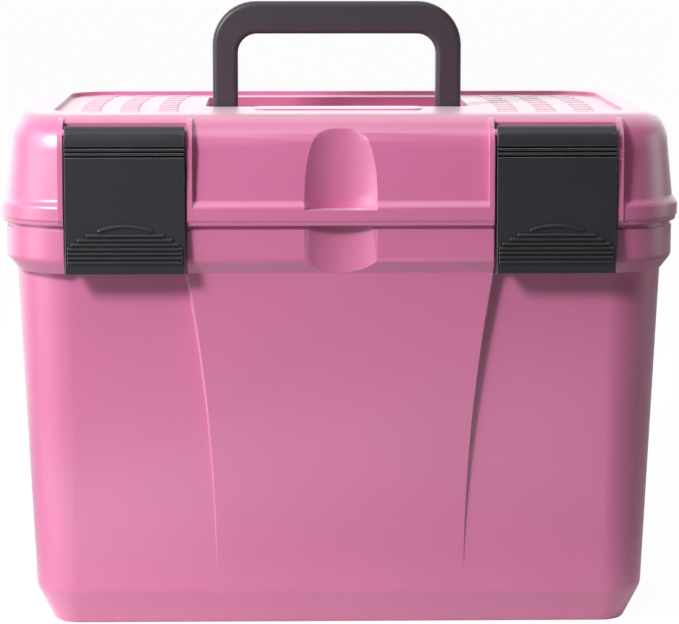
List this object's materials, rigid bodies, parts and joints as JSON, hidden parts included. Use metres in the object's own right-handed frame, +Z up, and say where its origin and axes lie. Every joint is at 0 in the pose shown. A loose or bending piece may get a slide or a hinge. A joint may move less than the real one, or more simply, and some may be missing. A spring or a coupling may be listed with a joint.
{
  "type": "horse grooming box",
  "caption": "Moulded plastic grooming box with a hinged lid, a fold-down carrying handle, snap latches and a lift-out tray, for keeping and carrying horse brushes.",
  "frame": {"origin": "middle of the flat base, on the surface that the box stands on", "axes": "+Z up, +X to the right as seen from the front, and -Y out of the front with the latches"},
  "size_m": [0.403, 0.2827, 0.3703],
  "materials": {
    "pink_plastic": "satin gloss moulded pink plastic",
    "handle_plastic": "satin plum-grey plastic",
    "latch_plastic": "fine-grained charcoal plastic",
    "tray_plastic": "satin plum-grey plastic",
    "pin_steel": "drawn steel rod"
  },
  "bodies": {
    "tub": {"tub": "pink_plastic", "hinge_pin_left": "pin_steel", "hinge_pin_right": "pin_steel"},
    "lid": {"lid": "pink_plastic"},
    "handle": {"handle": "handle_plastic"},
    "latch_left": {"latch_left": "latch_plastic"},
    "latch_right": {"latch_right": "latch_plastic"},
    "tray": {"tray": "tray_plastic"}
  },
  "joints": [
    {"name": "lid_hinge", "type": "hinge", "parent": "tub", "child": "lid", "pos_m": [0, 0.1397, 0.2414], "axis": [-1, 0, 0], "range_deg": [0, 105]},
    {"name": "handle_fold", "type": "hinge", "parent": "lid", "child": "handle", "pos_m": [0, -0.004, 0.2977], "axis": [-1, 0, 0], "range_deg": [0, 90]},
    {"name": "latch_left_swing", "type": "hinge", "parent": "lid", "child": "latch_left", "pos_m": [-0.1255, -0.129, 0.298], "axis": [-1, 0, 0], "range_deg": [0, 110]},
    {"name": "latch_right_swing", "type": "hinge", "parent": "lid", "child": "latch_right", "pos_m": [0.1255, -0.129, 0.298], "axis": [-1, 0, 0], "range_deg": [0, 110]},
    {"name": "tray_lift", "type": "slide", "parent": "tub", "child": "tray", "axis": [0, 0, 1], "range_m": [0, 0.025]}
  ]
}
